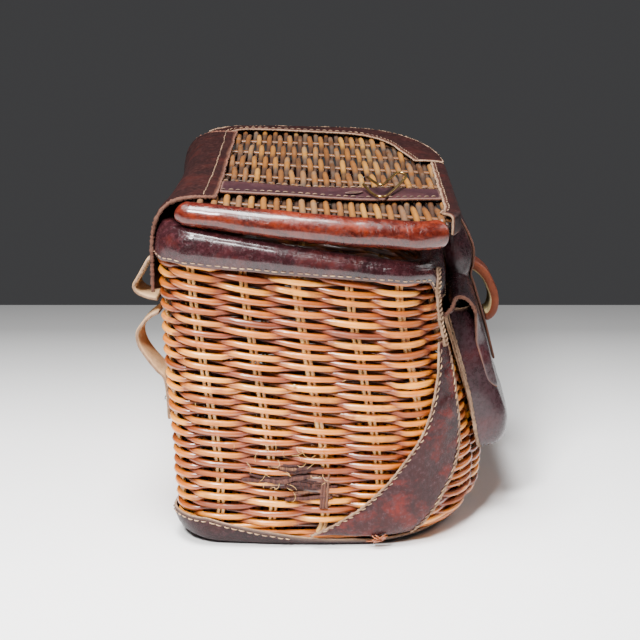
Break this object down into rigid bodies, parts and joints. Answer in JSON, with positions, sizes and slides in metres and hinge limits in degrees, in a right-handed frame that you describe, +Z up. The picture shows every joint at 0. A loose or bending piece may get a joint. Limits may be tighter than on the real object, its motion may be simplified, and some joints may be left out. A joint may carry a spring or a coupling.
{
  "type": "fishing creel",
  "caption": "Kidney-shaped wicker creel bound in dark leather, with a hinged lid left ajar, a leather pouch and strap on the front and tan straps behind.",
  "frame": {"origin": "on the surface that the creel stands on, under the middle of its whole outline", "axes": "+Z up, +X along the creel's length towards its far end, -Y towards its front, where the pouch is"},
  "size_m": [0.3336, 0.2766, 0.2557],
  "materials": {
    "willow": "varnished golden willow rods, stained at their ends",
    "lid_willow": "darker finer willow, grimy",
    "rim_leather": "oxblood, worn and glossy",
    "base_leather": "oxblood, scuffed",
    "corner_leather": "maroon with red patches, glossy",
    "pouch_leather": "dark oxblood, satin",
    "strap_leather": "dark purple-brown, satin",
    "loop_leather": "red-brown outside, cream suede inside",
    "lid_leather": "very dark oxblood, satin",
    "roll_leather": "red-brown, polished",
    "tan_leather": "undyed tan, matt",
    "brass_wire": "tarnished",
    "rivet_metal": "bright"
  },
  "bodies": {
    "root": {"basket_body": "willow", "lid_panel": "lid_willow", "rim_binding": "rim_leather", "base_leather": "base_leather", "corner_leather_near": "corner_leather", "corner_leather_far": "corner_leather", "pouch_body": "pouch_leather", "pouch_flap": "pouch_leather", "closure_strap": "strap_leather", "lid_cross_strap": "strap_leather", "front_loop": "loop_leather", "hinge_leather": "lid_leather", "lid_front_binding": "lid_leather", "lid_far_binding": "lid_leather", "lid_end_roll": "roll_leather", "back_strap_upper": "tan_leather", "back_strap_lower": "tan_leather", "back_strap_rivet": "rivet_metal", "wire_clip": "brass_wire"}
  },
  "joints": []
}
